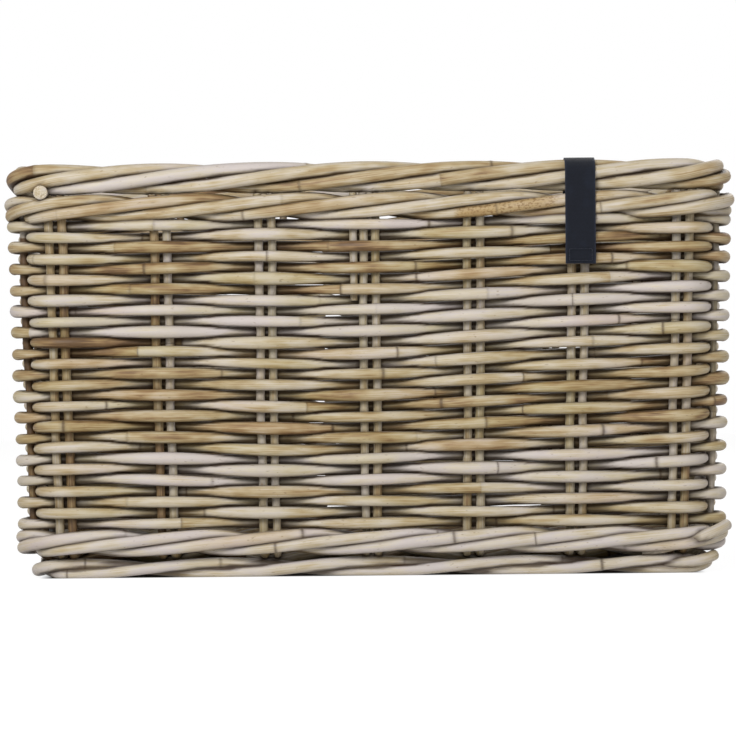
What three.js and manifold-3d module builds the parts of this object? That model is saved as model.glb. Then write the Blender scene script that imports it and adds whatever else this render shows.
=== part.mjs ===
// Rectangular rattan bicycle basket, woven from whole rods.
// Frame: origin under the middle of the foot, +X to the right, +Y to the back, +Z up, millimetres.
import * as THREE from 'three';
import { mergeVertices } from 'three/addons/utils/BufferGeometryUtils.js';
import Module from 'manifold-3d';

const wasm = await Module();
wasm.setup();

// Plan of the basket at the rim, measured along the middle of the wall
const RIM_WIDTH = 455;
const RIM_DEPTH = 306;
const CORNER_RADIUS = 23;
// Height of the rows woven between the two wales, and their number
const WOVEN_HEIGHT = 200.1;
const ROW_COUNT = 29;
// How far each wall leans in on its way down from the rim to the base
const WALL_LEAN = 6;

// Stakes stand in pairs; the first and last pair of a wall stand where its corners begin
const FRONT_STAKES = 7;
const SIDE_STAKES = 5;
const STAKE_D = 5.8;
const PAIR_PITCH = 8.4;
const STAKE_BEND = 6;

// Rods of the wall, the base, the two wales, the rolled rim and the twisted foot
const ROW_GAP = 0.3;
const BASE_ROD_D = 6.4;
const BASE_RUNS = 5;
// The wales' rods are this much thicker than the wall's, and rise by their own thickness and a slack
const WALE_EXTRA = 0.4;
const UPSET_SLACK = 1.9;
const TOP_SLACK = 3.2;
const RIM_ROD_D = 7.5;
const FOOT_ROD_D = 5.4;
const FOOT_INSET = 4;
const FOOT_FLAT = 0.5;

// Short extra stake beside the middle pair of the front wall
const BY_STAKE_D = 5;
const BY_STAKE_GAP = 0.6;
const BY_STAKE_LENGTH = 70;

// Woven label folded over the rim
const LABEL_WIDTH = 21;
const LABEL_DROP = 66;
const LABEL_THICKNESS = 1.2;

// Rods that touch keep this gap, and the ends of one rod stand this far apart
const CLEARANCE = 0.3;
const END_GAP = 1;
// A weaver's end runs on by this share of the way to the next stake pair, less where a rising rod crosses it
const LONG_TAIL = 0.47;
const SHORT_TAIL = 0.25;

// The rods are faceted: this many sides each
const WEAVER_SIDES = 4;
const STAKE_SIDES = 4;
const WALE_SIDES = 4;
const RIM_SIDES = 5;
const FOOT_SIDES = 5;

const WALE_STRANDS = 3;
// Ropes of twisted strands: their twist from one stake pair to the next, in two steps
const RIM_STRANDS = 4;
const RIM_TWIST = Math.PI / 2;
const FOOT_STRANDS = 2;
const FOOT_TWIST = 2 * Math.PI / 3;
const STEPS_PER_STAKE = 2;
const STATIONS = 2 * (FRONT_STAKES + SIDE_STAKES);
const CORNER_ARC = CORNER_RADIUS * Math.PI / 2;
// Straight legs cut the corner's arc by this much, so rods bulge out by it half-way round
const CORNER_SAG = 2 * CORNER_RADIUS * (1 - Math.cos(Math.PI / 8));
// Half-way round a corner a rope's strands stand out by this share of their radius, so that none cuts in
const CORNER_SPREAD = 1 / Math.cos(Math.PI / 8) - 1;
const HALF_PAIR = PAIR_PITCH / 2;
const BY_STAKE_SHIFT = HALF_PAIR + STAKE_D / 2 + BY_STAKE_GAP + BY_STAKE_D / 2;
const ROW_PITCH = WOVEN_HEIGHT / ROW_COUNT;
const WEAVER_D = ROW_PITCH - ROW_GAP;
const WALE_D = WEAVER_D + WALE_EXTRA;
const LABEL_STATION = FRONT_STAKES - 2;
const BY_STAKE_STATION = (FRONT_STAKES - 1) / 2;
const BACK_MIDDLE = FRONT_STAKES + SIDE_STAKES + (FRONT_STAKES - 1) / 2;
const UP = new THREE.Vector3(0, 0, 1);

// Twisted strands lie this far from the middle of their rope, so that their straight steps stay clear
function twistRadius(rodD, strands, twist) {
  const touching = (rodD + CLEARANCE) / 2 / Math.sin(Math.PI / strands);
  return touching / Math.cos(twist / STEPS_PER_STAKE / 2);
}
const FOOT_TWIST_R = twistRadius(FOOT_ROD_D, FOOT_STRANDS, FOOT_TWIST);
const RIM_TWIST_R = twistRadius(RIM_ROD_D, RIM_STRANDS, RIM_TWIST);

// Levels, each built on the one below
const FOOT_Z = FOOT_TWIST_R + FOOT_ROD_D / 2 * Math.cos(Math.PI / FOOT_SIDES) - FOOT_FLAT;
const BASE_Z = FOOT_Z + FOOT_TWIST_R + FOOT_ROD_D / 2 + CLEARANCE + STAKE_D / 2;
const BASE_DIP = STAKE_D + CLEARANCE;
const STAKE_RISE = 0.8 * BASE_DIP;
const UPSET_LIFT = WALE_D + UPSET_SLACK;
const TOP_LIFT = WALE_D + TOP_SLACK;
const UPSET_Z = BASE_Z + STAKE_D / 2 + CLEARANCE + WALE_D / 2 + STAKE_RISE / 2;
const FIRST_ROW_Z = UPSET_Z + UPSET_LIFT / 2 + WALE_D / 2 + CLEARANCE + WEAVER_D / 2;
const LAST_ROW_Z = FIRST_ROW_Z + (ROW_COUNT - 1) * ROW_PITCH;
const TOP_WALE_Z = LAST_ROW_Z + WEAVER_D / 2 + CLEARANCE + WALE_D / 2 + TOP_LIFT / 2;
const RIM_BOTTOM_Z = TOP_WALE_Z + TOP_LIFT / 2 + WALE_D / 2 + CLEARANCE;
const RIM_Z = RIM_BOTTOM_Z + RIM_TWIST_R + RIM_ROD_D / 2;
const STAKE_TOP_Z = RIM_BOTTOM_Z - CLEARANCE;
const BY_STAKE_BOTTOM_Z = STAKE_TOP_Z - BY_STAKE_LENGTH;

const look = (color, roughness) => new THREE.MeshStandardMaterial({ color, roughness, metalness: 0 });
const STAKE_LOOK = look(0xb7a27d, 0.7);
const WEAVER_LOOK = look(0xc3b79f, 0.72);
const WALE_LOOK = look(0xbcab8e, 0.7);
const RIM_LOOK = look(0xc0b196, 0.68);
const LABEL_LOOK = look(0x1d2233, 0.9);

// The rods by their use
const STAKE = { diameter: STAKE_D, sides: STAKE_SIDES, look: STAKE_LOOK };
const BY_STAKE = { diameter: BY_STAKE_D, sides: STAKE_SIDES, look: STAKE_LOOK };
const WEAVER = { diameter: WEAVER_D, sides: WEAVER_SIDES, look: WEAVER_LOOK };
const BASE_ROD = { diameter: BASE_ROD_D, sides: WEAVER_SIDES, look: WEAVER_LOOK };
const WALE = { diameter: WALE_D, sides: WALE_SIDES, look: WALE_LOOK };
const RIM_ROD = { diameter: RIM_ROD_D, sides: RIM_SIDES, look: RIM_LOOK };

const basket = new THREE.Group();

// The four walls in order: front, right, back, left, each with its first stake and its number of stakes
const WALLS = [FRONT_STAKES, SIDE_STAKES, FRONT_STAKES, SIDE_STAKES].map((count, wall, counts) => ({
  heading: wall * Math.PI / 2,
  first: counts.slice(0, wall).reduce((sum, value) => sum + value, 0),
  count,
  length: wall % 2 ? RIM_DEPTH : RIM_WIDTH,
  across: wall % 2 ? RIM_WIDTH : RIM_DEPTH,
}));

function wallOf(station) {
  const lap = THREE.MathUtils.euclideanModulo(station, STATIONS);
  const wall = WALLS.findLast((candidate) => candidate.first <= lap);
  return { wall, along: lap - wall.first, last: wall.count - 1 };
}

function leanAt(z) {
  return WALL_LEAN * (RIM_Z - z) / (RIM_Z - BASE_Z);
}

// A point on the wall: stations count stakes round the basket, offset is outwards from the middle of the wall
function wallPoint(station, z, offset = 0) {
  const { wall, along, last } = wallOf(station);
  const run = wall.length / 2 - leanAt(z) - CORNER_RADIUS;
  const face = wall.across / 2 - leanAt(z) - CORNER_RADIUS;
  const reach = CORNER_RADIUS + offset;
  const point = new THREE.Vector3(0, -face, z);
  if (along <= last) {
    point.x = run * (2 * along / last - 1);
    point.y -= reach;
  } else {
    const turn = (along - last) * Math.PI / 2;
    point.x = run + reach * Math.sin(turn);
    point.y -= reach * Math.cos(turn);
  }
  return point.applyAxisAngle(UP, wall.heading);
}

function isCorner(station) {
  const { along, last } = wallOf(station);
  return along >= last;
}

function spacingAfter(station) {
  const { wall, last } = wallOf(station);
  return isCorner(station) ? CORNER_ARC : (wall.length - 2 * CORNER_RADIUS) / last;
}

// The station at a distance along the wall from a stake pair
function beside(station, distance) {
  return station + distance / spacingAfter(distance < 0 ? station - 1 : station);
}

// How far a rod swings out of line to pass a group of stakes, with straight legs to the next groups
function swing(distance, halfGroup, spacing) {
  const level = distance / (1 - 2 * halfGroup / spacing);
  const slope = 2 * level / spacing;
  return level * Math.hypot(1, slope);
}

function wallSwing(station, rodD, z) {
  const hasByStake = station % STATIONS === BY_STAKE_STATION && z > BY_STAKE_BOTTOM_Z - rodD;
  const halfGroup = hasByStake ? BY_STAKE_SHIFT : HALF_PAIR;
  const spacing = Math.min(spacingAfter(station - 1), spacingAfter(station));
  return swing((STAKE_D + rodD) / 2 + CLEARANCE, halfGroup, spacing);
}

// A rod's centre line, with one ring at each of its knots
class RodPath extends THREE.Curve {
  constructor(knots) {
    super();
    this.knots = knots;
  }

  getPointAt(t, target = new THREE.Vector3()) {
    return target.copy(this.knots[Math.round(t * (this.knots.length - 1))]);
  }

  getTangentAt(t, target = new THREE.Vector3()) {
    const i = Math.round(t * (this.knots.length - 1));
    const here = this.knots[i];
    const before = this.knots[i - 1] ?? here;
    const after = this.knots[i + 1] ?? here;
    const arriving = here.clone().sub(before).normalize();
    const leaving = after.clone().sub(here).normalize();
    return target.copy(arriving).add(leaving).normalize();
  }
}

function rodGeometry(knots, diameter, sides, turn = 0) {
  const corners = Array.from({ length: sides }, (_, i) => {
    const angle = turn + i * 2 * Math.PI / sides;
    return new THREE.Vector2(Math.cos(angle), Math.sin(angle)).multiplyScalar(diameter / 2);
  });
  return new THREE.ExtrudeGeometry(new THREE.Shape(corners), {
    steps: knots.length - 1,
    extrudePath: new RodPath(knots),
  });
}

function addPiece(name, geometry, material) {
  const mesh = new THREE.Mesh(geometry, material);
  mesh.name = name;
  basket.add(mesh);
}

function addRod(name, knots, kind) {
  addPiece(name, rodGeometry(knots, kind.diameter, kind.sides), kind.look);
}

// One rod of the front and back walls: a front stake, its run under the base, and a back stake
function crossStake(pair, side) {
  const front = beside(pair, side * HALF_PAIR);
  const half = [wallPoint(front, STAKE_TOP_Z), wallPoint(front, BASE_Z + STAKE_BEND)];
  const foot = wallPoint(front, BASE_Z);
  const bendCut = STAKE_BEND * (1 - Math.SQRT1_2);
  half.push(new THREE.Vector3(foot.x, foot.y + bendCut, BASE_Z + bendCut));
  half.push(new THREE.Vector3(foot.x, foot.y + STAKE_BEND, BASE_Z));
  const mirrored = half.map((knot) => new THREE.Vector3(knot.x, -knot.y, knot.z));
  return [...half, ...mirrored.reverse()];
}

const pairX = (pair) => wallPoint(pair, BASE_Z).x;
const CROSS_SPACING = pairX(1) - pairX(0);
const OUTER_PAIR_X = pairX(FRONT_STAKES - 1);

// One rod of the side walls: under the outermost cross stakes, over the next ones, and so on
function longStake(pair, side) {
  const right = beside(FRONT_STAKES + pair, side * HALF_PAIR);
  const foot = wallPoint(right, BASE_Z);
  const runOut = OUTER_PAIR_X + HALF_PAIR + STAKE_D / 3;
  const seatX = THREE.MathUtils.lerp(runOut, foot.x, 0.55);
  const at = (x, z) => new THREE.Vector3(x, foot.y, z);
  const half = [
    wallPoint(right, STAKE_TOP_Z),
    wallPoint(right, BASE_Z + STAKE_RISE),
    at(seatX, BASE_Z),
    at(runOut, BASE_Z - BASE_DIP),
    at(OUTER_PAIR_X - HALF_PAIR, BASE_Z - BASE_DIP),
  ];
  const mirrored = half.map((knot) => new THREE.Vector3(-knot.x, knot.y, knot.z));
  const lift = swing(BASE_DIP, HALF_PAIR, CROSS_SPACING);
  const middle = [];
  for (let cross = FRONT_STAKES - 2; cross > 0; cross -= 1) {
    middle.push(at(pairX(cross), BASE_Z + (cross % 2 ? lift : -lift)));
  }
  return [...half, ...middle, ...mirrored.reverse()];
}

// A base weaver runs to and fro between two pairs of long stakes, turning round the outermost cross stakes
function baseWeaver(bay) {
  const reach = (STAKE_D + BASE_ROD_D) / 2 + CLEARANCE;
  const turnStep = Math.PI / 3;
  const turnR = reach / Math.cos(turnStep / 2);
  const lift = swing(reach, HALF_PAIR, CROSS_SPACING);
  const margin = HALF_PAIR + reach;
  const firstY = wallPoint(FRONT_STAKES + bay, BASE_Z).y + margin;
  const lastY = wallPoint(FRONT_STAKES + bay + 1, BASE_Z).y - margin;
  const runPitch = (lastY - firstY) / (BASE_RUNS - 1);
  const knots = [];
  for (let run = 0; run < BASE_RUNS; run += 1) {
    const way = run % 2 ? -1 : 1;
    const y = firstY + run * runPitch;
    const edge = (x) => new THREE.Vector3(x * way, y, BASE_Z + way * turnR);
    knots.push(edge(-OUTER_PAIR_X - HALF_PAIR), edge(-OUTER_PAIR_X + HALF_PAIR));
    for (let cross = 1; cross < FRONT_STAKES - 1; cross += 1) {
      knots.push(new THREE.Vector3(pairX(cross) * way, y, BASE_Z + (cross % 2 ? -way : way) * lift));
    }
    knots.push(edge(OUTER_PAIR_X - HALF_PAIR), edge(OUTER_PAIR_X + HALF_PAIR));
    if (run < BASE_RUNS - 1) {
      for (const part of [1, 2]) {
        const angle = Math.PI / 2 - part * turnStep;
        const x = OUTER_PAIR_X + HALF_PAIR + turnR * Math.cos(angle);
        const z = BASE_Z + way * turnR * Math.sin(angle);
        knots.push(new THREE.Vector3(x * way, y + part * runPitch / 3, z));
      }
    }
  }
  return knots;
}

const rowZ = (row) => FIRST_ROW_Z + (row - 1) * ROW_PITCH;

// A wall weaver goes once round at each of its rows, in front of one stake pair and behind the next
function wallWeaver({ rows, startTail, endTail }) {
  const start = BACK_MIDDLE + 1;
  const side = (station, row) => ((station + row) % 2 ? -1 : 1);
  const knotAt = (station, pass, row) => {
    const offset = side(pass, row) * wallSwing(pass, WEAVER_D, rowZ(row));
    const left = 1 - 2 * Math.abs(station - pass);
    return wallPoint(station, rowZ(row), offset * left);
  };
  const knots = [knotAt(start - startTail, start, rows[0])];
  let station = start;
  for (const row of rows) {
    for (let count = 0; count < STATIONS; count += 1) {
      knots.push(knotAt(station, station, row));
      if (isCorner(station)) {
        knots.push(wallPoint(station + 0.5, rowZ(row), CORNER_SAG));
      }
      station += 1;
    }
  }
  knots.push(knotAt(station - 1 + endTail, station - 1, rows.at(-1)));
  return knots;
}

// Rods that go round in turn, two rows each, so that neighbouring rows always alternate
function weaverCourses() {
  const courses = [];
  const paired = ROW_COUNT - ROW_COUNT % 4;
  for (let row = 1; row <= paired; row += 4) {
    courses.push({ rows: [row, row + 2], startTail: LONG_TAIL, endTail: SHORT_TAIL });
    courses.push({ rows: [row + 1, row + 3], startTail: SHORT_TAIL, endTail: LONG_TAIL });
  }
  for (let row = paired + 1; row <= ROW_COUNT; row += 1) {
    courses.push({ rows: [row], startTail: LONG_TAIL, endTail: LONG_TAIL });
  }
  return courses;
}

// A wale strand goes behind one stake pair and in front of two, rising as it goes
function waleStrand(strand, midZ, lift) {
  const start = BACK_MIDDLE + strand;
  const low = midZ - lift / 2;
  const high = midZ + lift / 2;
  const endShift = END_GAP / 2 / spacingAfter(start);
  const inside = (station, shift = 0) => wallPoint(station + shift, midZ, -wallSwing(station, WALE_D, midZ));
  const crossing = (station, z) => wallPoint(station + 0.5, z, isCorner(station) ? CORNER_SAG : 0);
  const knots = [inside(start, endShift)];
  for (let lap = 0; lap < STATIONS; lap += WALE_STRANDS) {
    const station = start + lap;
    if (lap > 0) {
      knots.push(inside(station));
    }
    knots.push(crossing(station, low));
    knots.push(wallPoint(station + 1, low, wallSwing(station + 1, WALE_D, midZ)));
    if (isCorner(station + 1)) {
      knots.push(wallPoint(station + 1.5, midZ, wallSwing(station + 1, WALE_D, midZ) + CORNER_SAG));
    }
    knots.push(wallPoint(station + 2, high, wallSwing(station + 2, WALE_D, midZ)));
    knots.push(crossing(station + 2, high));
  }
  knots.push(inside(start + STATIONS, -endShift));
  return knots;
}

// Ropes laid round the basket: how far out they lie, and how their first strand starts
const RIM_ROPE = {
  strands: RIM_STRANDS,
  twist: RIM_TWIST,
  twistR: RIM_TWIST_R,
  centreZ: RIM_Z,
  offset: 0,
  phase: Math.PI,
};
const FOOT_ROPE = {
  strands: FOOT_STRANDS,
  twist: FOOT_TWIST,
  twistR: FOOT_TWIST_R,
  centreZ: FOOT_Z,
  offset: -FOOT_INSET,
  phase: 0,
};

function ropeStrand(strand, { strands, twist, twistR, centreZ, offset, phase }) {
  const start = BACK_MIDDLE + strand;
  const endShift = END_GAP / 2 / spacingAfter(start);
  const lead = phase + 2 * Math.PI * strand / strands;
  const knots = [];
  for (let step = 0; step <= STATIONS * STEPS_PER_STAKE; step += 1) {
    const lap = THREE.MathUtils.clamp(step / STEPS_PER_STAKE, endShift, STATIONS - endShift);
    const angle = lead - twist * (strand + lap);
    const out = offset + twistR * Math.sin(angle);
    const { along, last } = wallOf(start + lap);
    const spread = along > last ? CORNER_SPREAD * (CORNER_RADIUS + out) : 0;
    const knot = wallPoint(start + lap, centreZ, out + spread);
    knots.push(knot.setZ(centreZ + twistR * Math.cos(angle)));
  }
  return knots;
}

function toManifold(geometry) {
  const bare = geometry.clone();
  bare.deleteAttribute('normal');
  bare.deleteAttribute('uv');
  const merged = mergeVertices(bare, 1e-4);
  return new wasm.Manifold(new wasm.Mesh({
    numProp: 3,
    vertProperties: new Float32Array(merged.attributes.position.array),
    triVerts: new Uint32Array(merged.index.array),
  }));
}

function fromManifold(solid) {
  const { vertProperties, triVerts } = solid.getMesh();
  const geometry = new THREE.BufferGeometry();
  geometry.setAttribute('position', new THREE.BufferAttribute(vertProperties, 3));
  geometry.setIndex(new THREE.BufferAttribute(triVerts, 1));
  geometry.computeVertexNormals();
  return geometry;
}

// The foot stands on small flats where its strands reach the ground
function cutAtGround(geometry) {
  const ground = new THREE.BoxGeometry(2 * RIM_WIDTH, 2 * RIM_DEPTH, BASE_Z);
  ground.translate(0, 0, -BASE_Z / 2);
  return fromManifold(toManifold(geometry).subtract(toManifold(ground)));
}

// The label's outline across the wall: up the outside, over the rim and down the inside
function labelShape() {
  const bulge = wallSwing(LABEL_STATION, WALE_D, TOP_WALE_Z) + WALE_D / 2 + CLEARANCE;
  const crown = RIM_TWIST_R + RIM_ROD_D / 2 + CLEARANCE;
  const hemZ = RIM_Z - LABEL_DROP + crown;
  const across = (offset, z) => new THREE.Vector2(wallPoint(LABEL_STATION, z, offset).y, z);
  const arch = (extra) => {
    const points = [across(bulge + extra, hemZ)];
    const archSteps = 8;
    for (let step = 0; step <= archSteps; step += 1) {
      const angle = Math.PI * step / archSteps;
      const z = RIM_Z + (crown + extra) * Math.sin(angle);
      points.push(across((bulge + extra) * Math.cos(angle), z));
    }
    points.push(across(-bulge - extra, hemZ));
    return points;
  };
  return new THREE.Shape([...arch(LABEL_THICKNESS), ...arch(0).reverse()]);
}

function rimLabel() {
  const geometry = new THREE.ExtrudeGeometry(labelShape(), { depth: LABEL_WIDTH, bevelEnabled: false });
  geometry.applyMatrix4(new THREE.Matrix4().makeBasis(
    new THREE.Vector3(0, 1, 0),
    new THREE.Vector3(0, 0, 1),
    new THREE.Vector3(1, 0, 0),
  ));
  return geometry.translate(wallPoint(LABEL_STATION, RIM_Z).x - LABEL_WIDTH / 2, 0, 0);
}

for (let pair = 0; pair < FRONT_STAKES; pair += 1) {
  addRod(`cross_stake_${pair + 1}_left`, crossStake(pair, -1), STAKE);
  addRod(`cross_stake_${pair + 1}_right`, crossStake(pair, 1), STAKE);
}
for (let pair = 0; pair < SIDE_STAKES; pair += 1) {
  addRod(`long_stake_${pair + 1}_front`, longStake(pair, -1), STAKE);
  addRod(`long_stake_${pair + 1}_back`, longStake(pair, 1), STAKE);
}
const byStakeAt = beside(BY_STAKE_STATION, -BY_STAKE_SHIFT);
addRod('by_stake', [wallPoint(byStakeAt, STAKE_TOP_Z), wallPoint(byStakeAt, BY_STAKE_BOTTOM_Z)], BY_STAKE);
for (let bay = 0; bay < SIDE_STAKES - 1; bay += 1) {
  addRod(`base_weaver_${bay + 1}`, baseWeaver(bay), BASE_ROD);
}
for (let strand = 0; strand < FOOT_STRANDS; strand += 1) {
  const round = rodGeometry(ropeStrand(strand, FOOT_ROPE), FOOT_ROD_D, FOOT_SIDES, Math.PI);
  addPiece(`foot_strand_${strand + 1}`, cutAtGround(round), WALE_LOOK);
}
for (let strand = 0; strand < WALE_STRANDS; strand += 1) {
  addRod(`upset_wale_${strand + 1}`, waleStrand(strand, UPSET_Z, UPSET_LIFT), WALE);
}
weaverCourses().forEach((course, i) => {
  addRod(`weaver_${String(i + 1).padStart(2, '0')}`, wallWeaver(course), WEAVER);
});
for (let strand = 0; strand < WALE_STRANDS; strand += 1) {
  addRod(`top_wale_${strand + 1}`, waleStrand(strand, TOP_WALE_Z, TOP_LIFT), WALE);
}
for (let strand = 0; strand < RIM_STRANDS; strand += 1) {
  addRod(`rim_strand_${strand + 1}`, ropeStrand(strand, RIM_ROPE), RIM_ROD);
}
addPiece('rim_label', rimLabel(), LABEL_LOOK);

export default basket;
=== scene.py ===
"""Rectangular rattan bicycle basket: whole rods woven round paired stakes, with a rolled rim and a label."""
import logging
import math
from dataclasses import dataclass, field
from enum import Enum

import bpy
import numpy as np
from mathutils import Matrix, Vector
from mathutils.kdtree import KDTree


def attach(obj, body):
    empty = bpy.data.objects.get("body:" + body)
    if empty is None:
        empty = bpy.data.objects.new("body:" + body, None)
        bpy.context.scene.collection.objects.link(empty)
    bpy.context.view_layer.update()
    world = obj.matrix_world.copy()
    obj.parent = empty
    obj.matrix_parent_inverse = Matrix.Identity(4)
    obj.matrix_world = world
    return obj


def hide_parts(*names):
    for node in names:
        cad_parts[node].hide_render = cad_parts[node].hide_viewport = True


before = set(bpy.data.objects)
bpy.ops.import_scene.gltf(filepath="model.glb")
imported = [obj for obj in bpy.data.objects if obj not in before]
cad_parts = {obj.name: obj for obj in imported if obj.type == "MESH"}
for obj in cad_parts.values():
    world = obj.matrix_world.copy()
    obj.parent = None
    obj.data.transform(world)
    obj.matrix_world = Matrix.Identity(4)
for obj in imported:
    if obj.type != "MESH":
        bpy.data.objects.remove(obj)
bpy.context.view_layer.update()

LOG = logging.getLogger("basket")
MM = 0.001
TURN = 2 * math.pi
LINE_STEP = 1.5 * MM
BEND_POINTS = 9
BEND_SHARE = 0.48
JOIN_REACH = 1e-6

Array = np.ndarray
Colour = tuple[float, float, float, float]
Material = bpy.types.Material
Piece = bpy.types.Object
Random = np.random.Generator
Socket = bpy.types.NodeSocket
Triple = tuple[float, float, float]


class Slot(Enum):
    """Material slots of the record."""

    STAKES = "rattan_stakes"
    WEAVERS = "rattan_weavers"
    WALES = "rattan_wales"
    RIM = "rattan_rim"
    CLOTH = "label_cloth"


class Side(Enum):
    """Which face of the wall a rod lies on."""

    OUTSIDE = 1
    INSIDE = -1


def select_only(*pieces: Piece) -> None:
    """Select some objects alone, or none.

    Args:
        *pieces: The objects to work on, of which the first becomes the active one.
    """
    bpy.ops.object.select_all(action="DESELECT")
    for piece in pieces:
        piece.select_set(True)
    if pieces:
        bpy.context.view_layer.objects.active = pieces[0]


def close_mesh(piece: Piece, smooth_angle: float) -> None:
    """Join vertices that lie on one another, and shade the mesh smooth.

    Args:
        piece: The mesh object.
        smooth_angle: Edges sharper than this stay sharp, in degrees.
    """
    select_only(piece)
    bpy.ops.object.mode_set(mode="EDIT")
    bpy.ops.mesh.select_all(action="SELECT")
    bpy.ops.mesh.remove_doubles(threshold=JOIN_REACH)
    bpy.ops.object.mode_set(mode="OBJECT")
    bpy.ops.object.shade_smooth_by_angle(angle=math.radians(smooth_angle))


def dress(piece: Piece, material: Material) -> None:
    """Give an object one material."""
    piece.data.materials.clear()
    piece.data.materials.append(material)


def vertex_places(piece: Piece) -> Array:
    """One point for each vertex of a mesh."""
    return np.array([vertex.co for vertex in piece.data.vertices])


def paint(piece: Piece, name: str, values: Array) -> None:
    """Store one number or vector per vertex, under a name, for the material to read."""
    kind, key = ("FLOAT_VECTOR", "vector") if values.ndim == 2 else ("FLOAT", "value")
    piece.data.attributes.new(name, kind, "POINT").data.foreach_set(key, values.astype(np.float32).ravel())


def hand_over(piece: Piece, slot: Slot, *nodes: str) -> None:
    """Let a finished piece ride on the basket in place of its CAD nodes.

    Args:
        piece: The finished piece.
        slot: Record slot that its finish belongs to; not used.
        *nodes: CAD nodes that the piece stands for.
    """
    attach(piece, "root")
    if nodes:
        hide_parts(*nodes)
    LOG.info("%s: %d faces, for %s", piece.name, len(piece.data.polygons), ", ".join(nodes) or "no CAD node")


def wander(along: Array, waves: int, longest: float, rng: Random) -> Array:
    """Smooth seeded wandering with a height of about one, from waves that get shorter and lower.

    Args:
        along: Distances at which to read it.
        waves: Number of sine waves to add up.
        longest: Length of the longest wave, in the unit of the distances.
        rng: Source of the seeded numbers.

    Returns:
        One value per distance.
    """
    total = np.zeros_like(along)
    for wave in range(waves):
        length = longest / (1 + 0.8 * wave) * rng.uniform(0.8, 1.25)
        total += np.sin(TURN * along / length + rng.uniform(0, TURN)) / (1 + 0.6 * wave)
    return total / (1 + 0.35 * waves)


def distances(points: Array) -> Array:
    """Distance along a line at each of its points, in metres."""
    return np.concatenate(([0.0], np.cumsum(np.linalg.norm(np.diff(points, axis=0), axis=1))))


def read_vectors(at: Array, along: Array, vectors: Array) -> Array:
    """Vectors at some distances along a line, read between those at its points."""
    return np.column_stack([np.interp(at, along, vectors[:, axis]) for axis in range(3)])


def spread(points: Array, step: float) -> Array:
    """Even points along a line, about one step apart."""
    along = distances(points)
    return read_vectors(np.linspace(0, along[-1], max(2, round(along[-1] / step))), along, points)


def rounded(knots: list[Triple], bend: float) -> Array:
    """Centre line through knots, with each corner drawn as a smooth bend.

    Args:
        knots: Corners of the line, in metres.
        bend: How far from a corner its bend begins.

    Returns:
        Even points of the line.
    """
    corners = [np.array(knot) for knot in knots]
    points = [corners[0]]
    for before, here, after in zip(corners, corners[1:], corners[2:]):
        back, on = before - here, after - here
        reach = min(bend, BEND_SHARE * np.linalg.norm(back), BEND_SHARE * np.linalg.norm(on))
        enter = here + back / np.linalg.norm(back) * reach
        leave = here + on / np.linalg.norm(on) * reach
        for part in np.linspace(0, 1, BEND_POINTS):
            points.append((1 - part) ** 2 * enter + 2 * part * (1 - part) * here + part ** 2 * leave)
    points.append(corners[-1])
    return spread(np.array(points), LINE_STEP)


def tube(name: str, centres: Array, radius: Array, sides: int) -> Piece:
    """Round closed tube: two end caps first, then its rings in order.

    Args:
        name: Name of the piece.
        centres: Middle of each ring.
        radius: Radius of each ring.
        sides: Corners of each ring.

    Returns:
        The tube as a mesh object.
    """
    curve = bpy.data.curves.new(name, "CURVE")
    curve.dimensions = "3D"
    curve.bevel_depth = 1.0
    curve.bevel_resolution = (sides - 4) // 2
    curve.use_fill_caps = True
    spline = curve.splines.new("POLY")
    spline.points.add(len(centres) - 1)
    weighted = np.column_stack((centres, np.ones(len(centres))))
    spline.points.foreach_set("co", weighted.astype(np.float32).ravel())
    spline.points.foreach_set("radius", radius.astype(np.float32))
    piece = bpy.data.objects.new(name, curve)
    bpy.context.collection.objects.link(piece)
    select_only(piece)
    bpy.ops.object.convert(target="MESH")
    return bpy.context.view_layer.objects.active


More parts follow.
